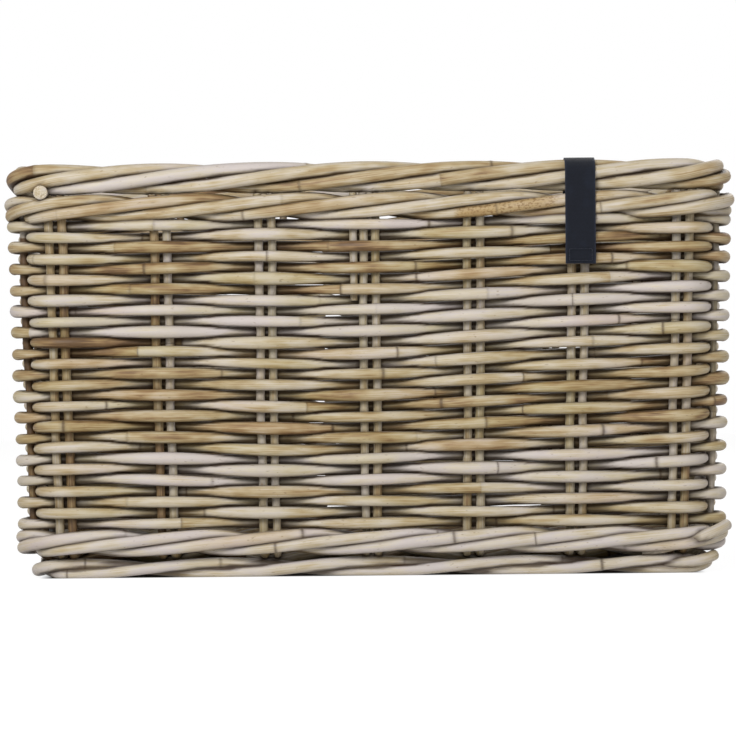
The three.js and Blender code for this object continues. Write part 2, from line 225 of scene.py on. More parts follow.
@dataclass(frozen=True)
class BasketPlan:
    """Plan and levels of the basket, in metres, about as the CAD model has them.

    Stations count the stake pairs round the basket: 0 to 6 along the front from left to right, 7 to 11 along
    the right side, 12 to 18 along the back and 19 to 23 along the left side.
    """

    width: float = 455 * MM
    depth: float = 306 * MM
    corner: float = 23 * MM
    lean: float = 6 * MM
    front_pairs: int = 7
    side_pairs: int = 5
    half_pair: float = 4.2 * MM
    stake_d: float = 5.8 * MM
    foot_z: float = 5.7 * MM
    base_z: float = 14.17 * MM
    upset_z: float = 22.6 * MM
    first_row_z: float = 34.86 * MM
    row_pitch: float = 6.93 * MM
    top_wale_z: float = 239.8 * MM
    stake_top_z: float = 248.86 * MM
    rim_z: float = 258.88 * MM

    @property
    def counts(self) -> Array:
        """Stake pairs on the front, right, back and left walls."""
        return np.array([self.front_pairs, self.side_pairs] * 2)

    @property
    def firsts(self) -> Array:
        """First station of each wall."""
        return np.concatenate(([0], np.cumsum(self.counts)[:-1]))

    @property
    def stations(self) -> int:
        """Number of stake pairs round the basket."""
        return int(self.counts.sum())

    @property
    def back_middle(self) -> int:
        """Station in the middle of the back wall, where rods begin and end."""
        return self.front_pairs + self.side_pairs + (self.front_pairs - 1) // 2

    def spacing(self, station: int) -> float:
        """Distance along the wall from a station to the next one.

        Args:
            station: Number of the stake pair.

        Returns:
            The distance in metres.
        """
        lap = station % self.stations
        wall = int(np.searchsorted(self.firsts, lap, side="right")) - 1
        last = int(self.counts[wall]) - 1
        if lap - self.firsts[wall] == last:
            return self.corner * math.pi / 2
        length = self.depth if wall % 2 else self.width
        return (length - 2 * self.corner) / last

    def beside(self, station: int, distance: float) -> float:
        """Station, as a fraction, at a distance along the wall from a stake pair."""
        return station + distance / self.spacing(station - 1 if distance < 0 else station)

    def sample(self, start: float, stop: float) -> Array:
        """Close stations from one place round the wall to another.

        Args:
            start: First station.
            stop: Last station.

        Returns:
            The stations, with every stake pair among them.
        """
        whole = np.arange(math.ceil(start), math.floor(stop) + 1)
        knots = np.unique(np.concatenate(([start], whole, [stop])))
        parts = []
        for here, there in zip(knots[:-1], knots[1:]):
            length = (there - here) * self.spacing(math.floor((here + there) / 2))
            parts.append(np.linspace(here, there, max(1, round(length / LINE_STEP)), endpoint=False))
        return np.concatenate(parts + [[stop]])

    def point(self, station: Array, z: Array, offset: Array) -> Array:
        """Points on the wall. Each argument is an array, or one number for all points.

        Args:
            station: Stations round the basket.
            z: Heights in metres.
            offset: Distances outwards from the middle of the wall.

        Returns:
            One point per station.
        """
        station, z, offset = np.broadcast_arrays(*np.atleast_1d(station, z, offset))
        lap = np.mod(station, self.stations)
        wall = np.searchsorted(self.firsts, lap, side="right") - 1
        along = lap - self.firsts[wall]
        last = self.counts[wall] - 1
        inset = self.lean * (self.rim_z - z) / (self.rim_z - self.base_z) + self.corner
        run = np.where(wall % 2, self.depth, self.width) / 2 - inset
        face = np.where(wall % 2, self.width, self.depth) / 2 - inset
        turn = np.clip(along - last, 0, 1) * math.pi / 2
        reach = self.corner + offset
        x = np.where(along <= last, run * (2 * along / last - 1), run + reach * np.sin(turn))
        y = -face - reach * np.cos(turn)
        heading = wall * math.pi / 2
        return np.column_stack((
            x * np.cos(heading) - y * np.sin(heading),
            x * np.sin(heading) + y * np.cos(heading),
            z,
        ))

    def outward(self, station: Array) -> Array:
        """Unit vectors straight out of the wall at some stations."""
        return self.point(station, self.rim_z, 1.0) - self.point(station, self.rim_z, 0.0)


def linear(colour: str) -> Colour:
    """Linear colour of six hex digits.

    Args:
        colour: Red, green and blue as hex digits.

    Returns:
        Red, green, blue and alpha for a colour socket.
    """
    parts = (int(colour[digit:digit + 2], 16) / 255 for digit in (0, 2, 4))
    linears = (part / 12.92 if part <= 0.04045 else ((part + 0.055) / 1.055) ** 2.4 for part in parts)
    return *linears, 1.0


class NodeSheet:
    """Node tree of a material or a world, with short calls for the nodes that the looks use.

    Inputs take a socket, a number or a colour, which is six hex digits or four linear parts.
    """

    def __init__(self, owner: Material | bpy.types.World, shader: str = "Principled BSDF") -> None:
        """Take over the nodes of a new material or world.

        Args:
            owner: The material or world.
            shader: Name of the shader node that it starts with.
        """
        owner.use_nodes = True
        self.tree = owner.node_tree
        self.shader = self.tree.nodes[shader]

    def feed(self, node: bpy.types.Node, feeds: dict[str | int, object]) -> None:
        """Feed inputs of a node.

        Args:
            node: The node.
            feeds: What each input takes, by its name or number.
        """
        for name, source in feeds.items():
            if isinstance(source, Socket):
                self.tree.links.new(source, node.inputs[name])
            else:
                node.inputs[name].default_value = linear(source) if isinstance(source, str) else source

    def add(self, kind: str, feeds: dict[str | int, object], **settings: object) -> bpy.types.Node:
        """Add a node.

        Args:
            kind: Type of the node, without the start that all types share.
            feeds: What its inputs take.
            **settings: The node's own settings.

        Returns:
            The new node.
        """
        node = self.tree.nodes.new(f"ShaderNode{kind}")
        for name, value in settings.items():
            setattr(node, name, value)
        self.feed(node, feeds)
        return node

    def attribute(self, name: str, output: str = "Fac") -> Socket:
        """An attribute of the mesh, by one of its node's outputs."""
        return self.add("Attribute", {}, attribute_name=name).outputs[output]

    def coordinates(self, output: str) -> Socket:
        """Texture coordinates, by the name of the node's output."""
        return self.add("TexCoord", {}).outputs[output]

    def noise(self, place: Socket, scale: Triple, detail: float, roughness: float = 0.5) -> Socket:
        """Soft noise, stretched by its own scale on each axis.

        Args:
            place: Coordinates in metres.
            scale: Repeats per metre on each axis.
            detail: Octaves of finer noise.
            roughness: Strength of the finer noise.

        Returns:
            The noise as a number.
        """
        at = self.add("VectorMath", {0: place, 1: scale}, operation="MULTIPLY").outputs[0]
        feeds = {"Vector": at, "Scale": 1.0, "Detail": detail, "Roughness": roughness}
        return self.add("TexNoise", feeds).outputs["Fac"]

    def ribs(self, place: Socket, axis: str, repeats: float) -> Socket:
        """Even ribs along one axis, with their number per metre."""
        feeds = {"Vector": place, "Scale": repeats / 20 * TURN, "Distortion": 0.6}
        return self.add("TexWave", feeds, bands_direction=axis).outputs["Fac"]

    def math(self, operation: str, first: object, second: object = 0.0) -> Socket:
        """Two numbers combined by an operation of the math node."""
        return self.add("Math", {0: first, 1: second}, operation=operation).outputs[0]

    def remap(self, value: Socket, low: float, high: float, to_low: float, to_high: float) -> Socket:
        """A number taken from one range to another, and kept inside it."""
        return self.add("MapRange", dict(enumerate((value, low, high, to_low, to_high)))).outputs[0]

    def vary(self, noise: Socket, low: float, high: float) -> Socket:
        """A noise taken from the range that it mostly keeps to another."""
        return self.remap(noise, 0.3, 0.7, low, high)

    def mix(self, amount: object, first: object, second: object, blend: str = "MIX") -> Socket:
        """Two colours mixed, with the share of the second and the way that they blend."""
        feeds = {0: amount, 6: first, 7: second}
        return self.add("Mix", feeds, data_type="RGBA", blend_type=blend).outputs[2]

    def ramp(self, value: Socket, stops: tuple[tuple[float, str], ...]) -> Socket:
        """A number turned into a colour.

        Args:
            value: The number, from 0 to 1.
            stops: Places and colours in order.

        Returns:
            The colour.
        """
        node = self.add("ValToRGB", {0: value})
        elements = node.color_ramp.elements
        while len(elements) < len(stops):
            elements.new(0.5)
        for element, (place, colour) in zip(elements, stops):
            element.position = place
            element.color = linear(colour)
        return node.outputs[0]

    def bump(self, height: Socket, depth: float) -> None:
        """Give the surface a relief of some depth in metres."""
        node = self.add("Bump", {"Height": height, "Strength": 1.0, "Distance": depth})
        self.feed(self.shader, {"Normal": node.outputs[0]})

    def seen_ray(self) -> Socket:
        """Tell rays of the camera and of reflections from others.

        Returns:
            One for them, else zero.
        """
        path = self.add("LightPath", {}).outputs
        mirrored = self.math("MAXIMUM", path["Is Camera Ray"], path["Is Glossy Ray"])
        return self.math("MAXIMUM", mirrored, path["Is Transmission Ray"])

    def cover(self, amount: Socket, kind: str, feeds: dict[str | int, object]) -> None:
        """Show another shader over the first one.

        Args:
            amount: Its share, from 0 to 1.
            kind: Type of its node.
            feeds: What its inputs take.
        """
        shown = self.shader.outputs[0].links[0].to_socket
        over = self.add(kind, feeds)
        mixed = self.add("MixShader", {0: amount, 1: self.shader.outputs[0], 2: over.outputs[0]})
        self.tree.links.new(mixed.outputs[0], shown)


@dataclass(frozen=True)
class RattanFinish:
    """Weathered rattan rods: pale to brown lengths, fine fibres, blotches, dark node rings, cut ends, and
    dirt with painted shade.
    """

    name: str
    paleness: float = 0.0
    olive: float = 0.55
    reddish: float = 0.45
    fibre_depth: float = 0.12 * MM
    sheen: float = 0.36
    roughness: tuple[float, float] = (0.46, 0.68)
    fibre_scale: Triple = (26, 1500, 1500)
    fibre_shade: float = 0.19
    blotch_scale: Triple = (38, 150, 150)
    blotch_shade: float = 0.25
    blotch_relief: float = 0.8
    cast_scale: Triple = (7, 1, 1)
    mottle_scale: Triple = (500, 800, 800)
    speck_scale: Triple = (260, 900, 900)
    pore_scale: Triple = (1700, 1700, 1700)
    palette: tuple[tuple[float, str], ...] = (
        (0.00, "60482f"), (0.14, "866a49"), (0.30, "a08962"), (0.46, "b2a07e"),
        (0.62, "beb199"), (0.80, "c8beaf"), (1.00, "c5bcb8"),
    )
    olive_tint: str = "e8e4be"
    reddish_tint: str = "f0dccb"
    skin: str = "ab8f60"
    mottle: str = "75552c"
    # Dark brown for the rods' dirt and painted shade.
    soil_and_shade: str = "321e09"
    speck: str = "73583a"
    ring: str = "3d2a19"
    pith: str = "cbc0ab"
    pore: str = "9d8b6d"

    def material(self) -> Material:
        """Node material that reads the rods' own attributes.

        Returns:
            The new material.
        """
        material = bpy.data.materials.new(self.name)
        nodes = NodeSheet(material)
        grain = nodes.attribute("grain", "Vector")
        fibres = nodes.noise(grain, self.fibre_scale, detail=3, roughness=0.6)
        blotches = nodes.noise(grain, self.blotch_scale, detail=2, roughness=0.55)
        tone = nodes.math("ADD", nodes.attribute("tone"), self.paleness)
        tone = nodes.math("ADD", tone, nodes.vary(fibres, -self.fibre_shade, self.fibre_shade))
        tone = nodes.math("ADD", tone, nodes.vary(blotches, -self.blotch_shade, self.blotch_shade))
        colour = nodes.ramp(tone, self.palette)
        cast = nodes.noise(grain, self.cast_scale, detail=1)
        casts = (0.62, self.olive, self.olive_tint), (0.32, self.reddish, self.reddish_tint)
        for end, share, tint in casts:
            colour = nodes.mix(nodes.remap(cast, 0.46, end, 0, share), colour, tint, "MULTIPLY")
        bark = nodes.attribute("bark")
        spots = nodes.remap(nodes.noise(grain, self.mottle_scale, detail=1), 0.48, 0.64, 0, 0.7)
        # The dark brown goes on by the rods' darkening attribute, which holds dirt and painted shade where
        # rods meet or lie deep in the weave, made patchy by the blotches.
        patchiness = nodes.remap(blotches, 0.25, 0.7, 0.75, 1.0)
        specks = nodes.remap(nodes.noise(grain, self.speck_scale, detail=1), 0.70, 0.76, 0, 0.45)
        pores = nodes.noise(nodes.coordinates("Object"), self.pore_scale, detail=1)
        pith = nodes.mix(nodes.remap(pores, 0.45, 0.62, 0, 1), self.pith, self.pore)
        for amount, shade in (
            (nodes.math("MULTIPLY", bark, 0.65), self.skin),
            (nodes.math("MULTIPLY", bark, spots), self.mottle),
            (nodes.math("MULTIPLY", nodes.attribute("soil_and_shade"), patchiness), self.soil_and_shade),
            (specks, self.speck),
            (nodes.math("MULTIPLY", nodes.attribute("ring"), nodes.vary(fibres, 0.55, 0.95)), self.ring),
            (nodes.attribute("cut"), pith),
        ):
            colour = nodes.mix(amount, colour, shade)
        nodes.feed(nodes.shader, {
            "Base Color": colour,
            "Roughness": nodes.vary(blotches, *self.roughness),
            "Specular IOR Level": self.sheen,
        })
        relief = nodes.math("ADD", fibres, nodes.math("MULTIPLY", blotches, self.blotch_relief))
        nodes.bump(relief, self.fibre_depth)
        return material


@dataclass(frozen=True)
class ClothFinish:
    """Nearly black woven tape or thread with a fine rib."""

    name: str
    dark: str = "090c14"
    light: str = "141a28"
    wear: str = "1d2433"
    edge: str = "2c3140"
    ribs: float = 1500.0
    rib_depth: float = 0.12 * MM
    roughness: float = 0.85
    specular: float = 0.2
    sheen: float = 0.15
    lint_scale: Triple = (900, 900, 900)
    wear_scale: Triple = (90, 60, 60)

    def material(self) -> Material:
        """Node material that reads the tape's UV map, laid out in metres.

        Returns:
            The new material.
        """
        material = bpy.data.materials.new(self.name)
        nodes = NodeSheet(material)
        place = nodes.coordinates("UV")
        across, along = nodes.ribs(place, "X", self.ribs), nodes.ribs(place, "Y", self.ribs * 0.8)
        weave = nodes.math("MULTIPLY", across, along)
        lint = nodes.noise(place, self.lint_scale, detail=3, roughness=0.6)
        wear = nodes.noise(place, self.wear_scale, detail=2)
        shade = nodes.math("ADD", nodes.math("MULTIPLY", weave, 0.5), nodes.vary(lint, 0, 0.35))
        colour = nodes.mix(shade, self.dark, self.light)
        colour = nodes.mix(nodes.remap(wear, 0.52, 0.75, 0, 0.4), colour, self.wear)
        nodes.feed(nodes.shader, {
            "Base Color": nodes.mix(nodes.attribute("edge"), colour, self.edge),
            "Roughness": self.roughness,
            "Specular IOR Level": self.specular,
            "Sheen Weight": self.sheen,
        })
        nodes.bump(nodes.math("ADD", weave, lint), self.rib_depth)
        return material


@dataclass
class Rod:
    """One whole rattan rod, with its nodes, along a centre line whose points are about 1.5 mm apart.

    Radius, darkening (dirt plus painted shade, 0 to 1) and bark (speckled skin, 0 to 1) are given for each
    point or for all. Bed is how far each point lies from the middle of the weave, and the way out from there.
    Tone is the paleness of the whole rod, or None for lengths of different shades, and shift makes them all
    paler. For each lie, from deep in the weave to its face, the rod keeps a lit stripe of some half height;
    above and below it, it gets painted shade, as the rods in front would shadow it.
    """

    name: str
    line: Array
    radius: Array | float
    seed: int
    soil_and_shade: Array | float = 0.04
    bed: tuple[Array, Array] | None = None
    bark: Array | float = 0.0
    tone: float | None = None
    shift: float = 0.0
    ground: bool = False
    # Half heights of the lit stripe for each lie, and the painted shade above and below it.
    lit_at: tuple[float, ...] = (-1.0, -0.5, 0.0, 0.5, 1.0)
    lit_half: tuple[float, ...] = (0.16, 0.34, 0.64, 0.9, 1.02)
    lit_edge: float = 0.3
    edge_shade: float = 0.9
    sides: int = 16
    ring_step: float = 4.2 * MM
    close_rings: tuple[float, ...] = (-3.0, -1.5, -0.6, 0.0, 0.6, 1.5, 3.0)
    node_gaps: tuple[float, float] = (0.09, 0.25)
    end_margin: float = 0.01
    shades: tuple[float, ...] = (0.06, 0.20, 0.36, 0.50, 0.63, 0.76, 0.92)
    shares: tuple[float, ...] = (0.04, 0.07, 0.15, 0.23, 0.25, 0.16, 0.10)
    shade_jitter: float = 0.06
    swell: float = 0.03
    node_swell: float = 0.06
    node_half: float = 1.5 * MM
    end_taper: float = 0.86
    mark_strength: tuple[float, float] = (0.15, 1.25)
    mark_width: tuple[float, float] = (0.5, 1.3)

    def __post_init__(self) -> None:
        """Set out the nodes and the mesh's rings, and give each point its own radius, dirt and skin."""
        for name in ("radius", "soil_and_shade", "bark"):
            setattr(self, name, np.broadcast_to(getattr(self, name), len(self.line)))
        self.rng = np.random.default_rng(self.seed)
        self.along = distances(self.line)
        self.nodes = self.node_places()
        self.at = self.ring_places()

    def node_places(self) -> Array:
        """Set out the nodes.

        Returns:
            Their distances from the rod's start.
        """
        shortest, longest = self.node_gaps
        length = self.along[-1]
        gaps = self.rng.uniform(shortest, longest, size=int(length / shortest) + 2)
        places = np.cumsum(gaps) - self.rng.uniform(0, shortest)
        return places[places < length - self.end_margin]

    def ring_places(self) -> Array:
        """Set out the mesh's rings, closer at the nodes and at the cut ends.

        Returns:
            Their distances from the rod's start.
        """
        length = self.along[-1]
        even = np.linspace(0, length, max(3, round(length / self.ring_step)))
        close = (self.nodes[:, None] + np.array(self.close_rings) * MM).ravel()
        ends = np.array([0.5 * MM, length - 0.5 * MM])
        every = np.sort(np.concatenate((even, close, ends)))
        every = every[(every >= 0) & (every <= length)]
        every = every[np.concatenate(([True], np.diff(every) > 0.25 * MM))]
        every[-1] = length
        return every

    def read(self, values: Array) -> Array:
        """Values or vectors of the line's points, read at each ring."""
        return (read_vectors if values.ndim == 2 else np.interp)(self.at, self.along, values)

    def tones(self) -> Array:
        """Choose the paleness of each length between nodes.

        Returns:
            One value per length, from 0 for brown to 1 for grey.
        """
        count = len(self.nodes) + 1
        rods = self.rng.choice(self.shades, p=self.shares, size=count // 2 + 2)
        each = np.repeat(rods, self.rng.integers(2, 5, size=len(rods)))[:count]
        if self.tone is not None:
            each = np.full(count, self.tone)
        return np.clip(each + self.shift + self.rng.normal(0, self.shade_jitter, size=count), 0.02, 0.98)

    def shade_and_dirt(self, piece: Piece, ring: Array) -> Array:
        """Find the darkening of each vertex: its dirt, plus painted shade on the top and bottom of the rod,
        widest where it lies deep in the weave.

        Args:
            piece: The rod's mesh.
            ring: Ring of each vertex.

        Returns:
            One value per vertex, from 0 to 1.
        """
        soil_and_shade = self.read(self.soil_and_shade)[ring]
        if self.bed is None:
            return soil_and_shade
        lie, way = self.bed
        radial = (vertex_places(piece) - self.read(self.line)[ring]) / self.read(self.radius)[ring, None]
        facing = np.clip(2 * np.sum(radial * self.read(way)[ring], axis=1), -1, 1)
        lie = self.read(lie)[ring] / np.max(np.abs(lie)) * facing
        # Painted shade: outside a lit stripe, whose half height shrinks where the rod lies deep in the weave
        # and faces out, its top and bottom are darkened as the rods in front would shadow them.
        lit_band = np.interp(lie, self.lit_at, self.lit_half)
        edge = np.clip((np.abs(radial[:, 2]) - lit_band) / self.lit_edge + 0.5, 0, 1)
        return np.clip(soil_and_shade + self.edge_shade * edge ** 1.3, 0, 1)

    def build(self, material: Material) -> Piece:
        """Build the mesh, with the attributes that its finish reads.

        Args:
            material: Finish of the rod.

        Returns:
            The new object.
        """
        at, rng, count = self.at, self.rng, len(self.nodes) + 1
        length = np.searchsorted(self.nodes, at, side="right")
        apart = np.abs(at[:, None] - self.nodes) if len(self.nodes) else np.ones((len(at), 1))
        nearest, closest = apart.min(axis=1), apart.argmin(axis=1)
        swell = 1 + self.swell * wander(at, 3, 0.35, rng) + rng.normal(0, self.swell, size=count)[length]
        swell += self.node_swell * np.exp(-(nearest / self.node_half) ** 2)
        radius = self.read(self.radius) * swell
        radius[[0, -1]] *= self.end_taper
        piece = tube(self.name, self.read(self.line), radius, self.sides)
        ring = np.repeat(np.concatenate(([len(at) - 1, 0], np.arange(len(at)))), self.sides)
        angle = np.tile(np.arange(self.sides) * TURN / self.sides, len(at) + 2)
        tone = self.tones()[length] + 0.05 * wander(at, 3, 0.12, rng)
        strength = np.minimum(rng.uniform(*self.mark_strength, size=count)[closest], 1)
        width = rng.uniform(*self.mark_width, size=count)[closest] * MM
        turned = radius[ring] * np.cos(angle), radius[ring] * np.sin(angle)
        paint(piece, "tone", tone[ring])
        paint(piece, "ring", (strength * np.exp(-(nearest / width) ** 2))[ring])
        # The darkening attribute holds the rod's dirt and painted shade.
        paint(piece, "soil_and_shade", self.shade_and_dirt(piece, ring))
        paint(piece, "bark", self.read(self.bark)[ring])
        paint(piece, "cut", (np.arange(len(ring)) < 2 * self.sides).astype(float))
        paint(piece, "grain", np.column_stack((at[ring] + self.seed * 1.37, *turned)))
        if self.ground:
            for vertex in piece.data.vertices:
                vertex.co.z = max(vertex.co.z, 0.0)
        dress(piece, material)
        close_mesh(piece, smooth_angle=50)
        return piece


@dataclass
class ContactShade:
    """Painted shade in the narrow gaps where rods meet, darkening them as occlusion would.

    Reach is the widest gap that holds any. Points of one rod that are few places apart aren't a gap.
    """

    reach: float = 2.1 * MM
    amount: float = 0.95
    apart: int = 12
    rods: list[tuple[Piece, Rod]] = field(default_factory=list)

    def settle(self) -> None:
        """Add the painted shade to every rod's darkening attribute."""
        points = np.concatenate([rod.line for _, rod in self.rods])
        thick = np.concatenate([rod.radius for _, rod in self.rods]).tolist()
        tree = KDTree(len(points))
        for number, point in enumerate(points):
            tree.insert(point, number)
        tree.balance()
        widest = max(thick) + self.reach
        for piece, _ in self.rods:
            soil_and_shade = piece.data.attributes["soil_and_shade"].data
            for number, vertex in enumerate(piece.data.vertices):
                # Painted shade: the narrower the gap to another rod or another part of this rod, the darker
                # the vertex.
                near = [(far - thick[point], point) for _, point, far in tree.find_range(vertex.co, widest)]
                own = min(near, default=(0.0, 0))[1]
                gap = min((gap for gap, point in near if abs(point - own) > self.apart), default=self.reach)
                share = 1 - min(max(gap / self.reach, 0), 1)
                soil_and_shade[number].value = min(soil_and_shade[number].value + self.amount * share, 1)


@dataclass
class RodWork:
    """Rods of one kind, which share a plan, a finish, a record slot and the painted shade where they meet."""

    plan: BasketPlan
    material: Material
    slot: Slot
    contact_shade: ContactShade

    def lay(self, rod: Rod, *nodes: str) -> None:
        """Build one rod.

        Args:
            rod: The rod to build.
            *nodes: The CAD node that it stands for, if there is one.
        """
        piece = rod.build(self.material)
        self.contact_shade.rods.append((piece, rod))
        hand_over(piece, self.slot, *nodes)


@dataclass
class Stakes(RodWork):
    """Paired stakes: each rod is a stake of one wall, a run through the base and a stake of the other."""

    diameter: float = 5.7 * MM
    bend: float = 8 * MM
    dip: float = 6.1 * MM
    by_stake_d: float = 5 * MM
    by_stake_shift: float = 10.2 * MM
    by_stake_length: float = 70 * MM
    uneven: float = 0.6 * MM
    soil_and_shade: float = 0.18
    # The stakes grow darker towards the base, over the lowest 60 mm.
    low_darkening: float = 0.3
    low_darkening_z: float = 60 * MM
    seat: float = 0.55
    heel: float = 0.8
    wave: float = 1.15
    cross_seed: int = 100
    long_seed: int = 140
    by_stake_seed: int = 170
    line_seed: int = 5000

    def wall_knot(self, station: float, z: float) -> Triple:
        """A point on the middle of the wall as a knot of a rod."""
        return tuple(self.plan.point(station, z, 0.0)[0])

    def cross_knots(self, station: float) -> list[Triple]:
        """Knots from the front rim to the back rim of a rod whose front stake stands at a station."""
        half = [self.wall_knot(station, self.plan.stake_top_z), self.wall_knot(station, self.plan.base_z)]
        return half + [(x, -y, z) for x, y, z in reversed(half)]

    def long_knots(self, station: float) -> list[Triple]:
        """Knots of a rod of the side walls, which passes under and over the cross stakes.

        Args:
            station: Where its right stake stands.

        Returns:
            Knots from the right rim to the left rim.
        """
        plan, base = self.plan, self.plan.base_z
        foot = self.wall_knot(station, base)
        outer = self.wall_knot(plan.front_pairs - 1, base)[0]
        run_out = outer + plan.half_pair + self.diameter / 3
        seat = run_out + self.seat * (foot[0] - run_out)
        half = [
            self.wall_knot(station, plan.stake_top_z),
            self.wall_knot(station, base + self.heel * self.dip),
            (seat, foot[1], base),
            (run_out, foot[1], base - self.dip),
            (outer - plan.half_pair, foot[1], base - self.dip),
        ]
        wave = self.wave * self.dip
        middle = [
            (self.wall_knot(pair, base)[0], foot[1], base + (wave if pair % 2 else -wave))
            for pair in range(plan.front_pairs - 2, 0, -1)
        ]
        return half + middle + [(-x, y, z) for x, y, z in reversed(half)]

    def stake(self, node: str, knots: list[Triple], seed: int, diameter: float) -> None:
        """Build one stake, darker towards the base.

        Args:
            node: Name of the CAD node.
            knots: Corners of its centre line.
            seed: Seed of its unevenness.
            diameter: Its thickness.
        """
        line = rounded(knots, self.bend)
        rng = np.random.default_rng(seed + self.line_seed)
        along = distances(line)
        for axis in (0, 1):
            line[:, axis] += self.uneven * wander(along, 3, 0.16, rng)
        low = np.clip((self.low_darkening_z - line[:, 2]) / self.low_darkening_z, 0, 1)
        self.lay(Rod(f"{node}_rattan", line, diameter / 2, seed, low * self.low_darkening + self.soil_and_shade), node)

    def build(self) -> None:
        """Build all stakes."""
        plan = self.plan
        for kind, first, pairs, names, knots, seed in (
            ("cross", 0, plan.front_pairs, ("left", "right"), self.cross_knots, self.cross_seed),
            ("long", plan.front_pairs, plan.side_pairs, ("front", "back"), self.long_knots, self.long_seed),
        ):
            for pair in range(pairs):
                for side, name in zip((-1, 1), names):
                    line = knots(plan.beside(first + pair, side * plan.half_pair))
                    self.stake(f"{kind}_stake_{pair + 1}_{name}", line, seed + 2 * pair + side, self.diameter)
        at = plan.beside((plan.front_pairs - 1) // 2, -self.by_stake_shift)
        ends = plan.stake_top_z, plan.stake_top_z - self.by_stake_length
        self.stake("by_stake", [self.wall_knot(at, z) for z in ends], self.by_stake_seed, self.by_stake_d)


@dataclass
class BaseWeave(RodWork):
    """Base weavers, each of which runs to and fro between two pairs of long stakes."""

    diameter: float = 6.5 * MM
    runs: int = 5
    bend: float = 14 * MM
    clearance: float = 0.3 * MM
    lift_share: float = 1.18
    uneven: float = 0.5 * MM
    soil_and_shade: float = 0.35
    seed: int = 200
    line_seed: int = 5200

    def knots(self, bay: int) -> list[Triple]:
        """Knots of one base weaver.

        Args:
            bay: Number of the bay between long stakes, from the front.

        Returns:
            Knots from its first end to its last.
        """
        plan, base = self.plan, self.plan.base_z
        reach = (plan.stake_d + self.diameter) / 2 + self.clearance
        turn_r = reach / math.cos(math.pi / 6)
        lift = self.lift_share * reach
        margin = plan.half_pair + reach
        columns = plan.point(np.arange(plan.front_pairs), base, 0.0)[:, 0]
        near, far = columns[-1] - plan.half_pair, columns[-1] + plan.half_pair
        front, back = plan.point(plan.front_pairs + np.array([bay, bay + 1]), base, 0.0)[:, 1]
        rows = np.linspace(front + margin, back - margin, self.runs)
        pitch = rows[1] - rows[0]
        knots = []
        for run, y in enumerate(rows):
            way = -1 if run % 2 else 1
            edge = base + way * turn_r
            knots += [(way * -far, y, edge), (way * -near, y, edge)]
            for pair in range(1, plan.front_pairs - 1):
                knots.append((way * columns[pair], y, base + (-way if pair % 2 else way) * lift))
            knots += [(way * near, y, edge), (way * far, y, edge)]
            if run < self.runs - 1:
                for part in (1, 2):
                    angle = math.pi / 2 - part * math.pi / 3
                    x = far + turn_r * math.cos(angle)
                    knots.append((way * x, y + part * pitch / 3, base + way * turn_r * math.sin(angle)))
        return knots

    def build(self) -> None:
        """Build all base weavers."""
        for bay in range(self.plan.side_pairs - 1):
            line = rounded(self.knots(bay), self.bend)
            rng = np.random.default_rng(bay + self.line_seed)
            line[:, 1] += self.uneven * wander(distances(line), 3, 0.2, rng)
            node = f"base_weaver_{bay + 1}"
            self.lay(Rod(f"{node}_rattan", line, self.diameter / 2, self.seed + bay, self.soil_and_shade), node)


Course = tuple[list[int], float, float]


